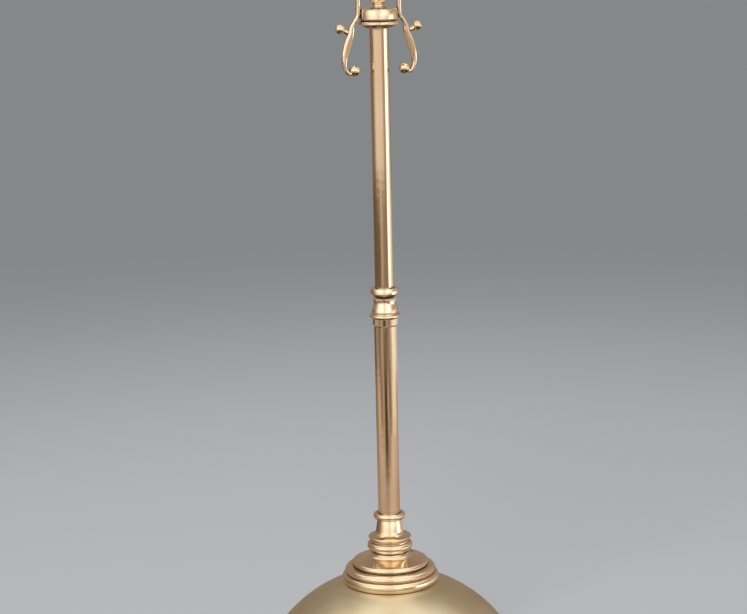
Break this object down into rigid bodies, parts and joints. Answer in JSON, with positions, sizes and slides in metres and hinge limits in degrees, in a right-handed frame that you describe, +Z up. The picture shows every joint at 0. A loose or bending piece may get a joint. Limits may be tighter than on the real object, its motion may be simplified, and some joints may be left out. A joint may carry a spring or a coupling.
{
  "type": "bible stand",
  "caption": "Telescopic brass Bible stand: weighted dome base, sliding tubes with a clamp, scroll head and a tilting open book rest.",
  "frame": {"origin": "centre of the foot rim's underside", "axes": "+Z up along the stem, +X along the scrolls and the book rest's long side, -Y towards the reader"},
  "size_m": [0.33, 0.33, 1.1142],
  "materials": {
    "polished_brass": "polished and lacquered, warm gold",
    "satin_brass": "satin, paler gold, spun",
    "cast_iron": "as cast, black",
    "steel": "machined",
    "baize": "green felted baize",
    "fibre": "pressed leather fibre"
  },
  "bodies": {
    "base": {"foot_rim": "polished_brass", "baize_pad": "baize", "base_plate": "steel", "plate_screw_1": "steel", "plate_screw_2": "steel", "plate_screw_3": "steel", "base_weight": "cast_iron", "tie_rod": "steel", "base_washer": "steel", "base_nut": "steel", "rod_spacer": "steel", "base_dome": "satin_brass", "base_collar": "polished_brass", "neck_ring": "polished_brass", "neck_vase": "polished_brass", "tube_ferrule": "polished_brass", "lower_tube": "polished_brass", "lower_tube_plug": "polished_brass", "gland_body": "polished_brass"},
    "clamp_nut": {"gland_nut": "polished_brass"},
    "clamp_collet": {"gland_collet": "fibre"},
    "column": {"arm_pin_left": "polished_brass", "arm_pin_right": "polished_brass", "c_scroll_left": "polished_brass", "c_scroll_right": "polished_brass", "curl_ball_left": "polished_brass", "curl_ball_right": "polished_brass", "head_baluster": "polished_brass", "head_lip": "polished_brass", "head_post": "polished_brass", "head_ring": "polished_brass", "head_rod": "steel", "head_urn": "polished_brass", "inner_ball_left": "polished_brass", "inner_ball_right": "polished_brass", "outer_ball_left": "polished_brass", "outer_ball_right": "polished_brass", "scroll_arm_left": "polished_brass", "scroll_arm_right": "polished_brass", "scroll_nub_left": "polished_brass", "scroll_nub_right": "polished_brass", "tilt_bolt": "steel", "tilt_washer_left": "steel", "tilt_washer_right": "steel", "upper_tube": "polished_brass", "upper_tube_foot": "polished_brass", "upper_tube_plug": "polished_brass"},
    "book_rest": {"yoke_cheek_left": "polished_brass", "yoke_cheek_right": "polished_brass", "yoke_crossbar": "polished_brass", "book_rest_frame": "polished_brass", "book_ledge": "polished_brass", "rest_scroll_left": "polished_brass", "rest_scroll_right": "polished_brass", "rest_screw_upper": "polished_brass", "rest_screw_lower": "polished_brass"},
    "knob_left": {"tilt_knob_left": "polished_brass"},
    "knob_right": {"tilt_knob_right": "polished_brass"}
  },
  "joints": [
    {"name": "clamp_nut_turn", "type": "hinge", "parent": "base", "child": "clamp_nut", "pos_m": [0, 0, 0.4557], "axis": [0, 0, 1], "range_deg": [0, 300]},
    {"name": "column_swivel", "type": "hinge", "parent": "base", "child": "clamp_collet", "pos_m": [0, 0, 0.4565], "axis": [0, 0, 1], "continuous": true},
    {"name": "height_slide", "type": "slide", "parent": "clamp_collet", "child": "column", "axis": [0, 0, 1], "range_m": [-0.1, 0.09]},
    {"name": "book_rest_tilt", "type": "hinge", "parent": "column", "child": "book_rest", "pos_m": [0, 0, 0.964], "axis": [1, 0, 0], "range_deg": [-35, 30]},
    {"name": "knob_left_turn", "type": "hinge", "parent": "column", "child": "knob_left", "pos_m": [-0.0425, 0, 0.964], "axis": [-1, 0, 0], "range_deg": [0, 270]},
    {"name": "knob_right_turn", "type": "hinge", "parent": "column", "child": "knob_right", "pos_m": [0.0425, 0, 0.964], "axis": [1, 0, 0], "range_deg": [0, 270]}
  ]
}
